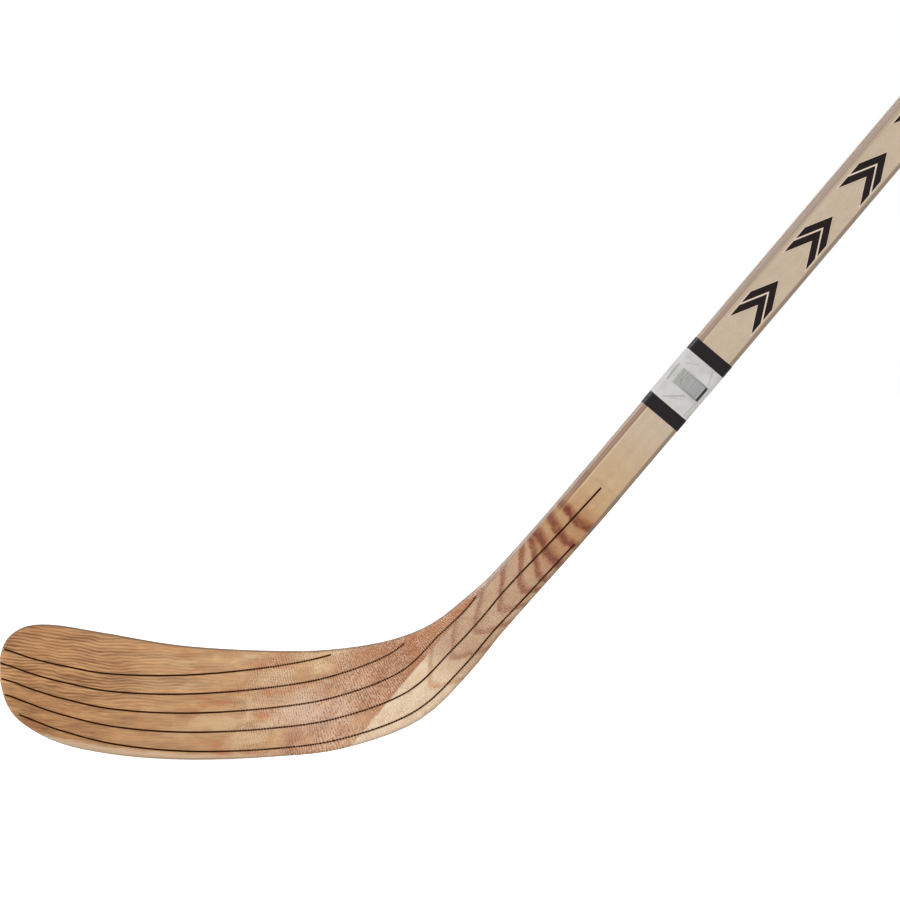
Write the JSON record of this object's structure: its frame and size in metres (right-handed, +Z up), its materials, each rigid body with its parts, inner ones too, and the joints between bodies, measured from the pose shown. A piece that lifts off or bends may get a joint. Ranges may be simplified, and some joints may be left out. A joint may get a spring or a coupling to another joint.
{
  "type": "ice hockey stick",
  "caption": "Traditional laminated wooden ice hockey stick with a curved, glass-cloth covered ash blade, a forked heel block and a straight rectangular shaft.",
  "frame": {"origin": "on the ice, under the middle of the stick's bounding box", "axes": "+Z up from the ice, with the sole on z = 0; the toe towards -X and the shaft rising towards +X; the forehand face of the blade towards -Y"},
  "size_m": [1.223, 0.0548, 1.1639],
  "materials": {
    "ash_blade": "clear resin over sanded ash",
    "heel_wood": "clear resin over sanded hardwood",
    "aspen_ply": "clear lacquer",
    "birch_veneer": "clear lacquer, satin",
    "core_ply": "sanded, clear lacquer",
    "glass_cloth": "woven glass wetted out with glossy clear resin, taking the colour of the wood below",
    "tracer_yarn": "black yarn in clear resin",
    "black_band": "glossy printed film",
    "white_wrap": "glossy film with faint wrinkles",
    "grey_label": "satin printed label, blank bars only",
    "mark_ink": "black transfer under lacquer with a pale outline"
  },
  "bodies": {
    "root": {"blade": "ash_blade", "heel_block": "heel_wood", "shaft_centre_ply": "core_ply", "shaft_inner_ply_front": "aspen_ply", "shaft_inner_ply_back": "aspen_ply", "shaft_outer_ply_front": "aspen_ply", "shaft_outer_ply_back": "aspen_ply", "shaft_face_veneer_front": "birch_veneer", "shaft_face_veneer_back": "birch_veneer", "glass_cloth_front": "glass_cloth", "glass_cloth_back": "glass_cloth", "tracer_yarn_front_1": "tracer_yarn", "tracer_yarn_front_2": "tracer_yarn", "tracer_yarn_front_3": "tracer_yarn", "tracer_yarn_front_4": "tracer_yarn", "tracer_yarn_front_5": "tracer_yarn", "tracer_yarn_back_1": "tracer_yarn", "tracer_yarn_back_2": "tracer_yarn", "tracer_yarn_back_3": "tracer_yarn", "tracer_yarn_back_4": "tracer_yarn", "tracer_yarn_back_5": "tracer_yarn", "lower_black_band": "black_band", "upper_black_band": "black_band", "white_wrap_band": "white_wrap", "grey_label": "grey_label", "printed_mark_1": "mark_ink", "printed_mark_2": "mark_ink", "printed_mark_3": "mark_ink", "printed_mark_4": "mark_ink", "printed_mark_5": "mark_ink", "printed_mark_6": "mark_ink", "printed_mark_7": "mark_ink"}
  },
  "joints": []
}
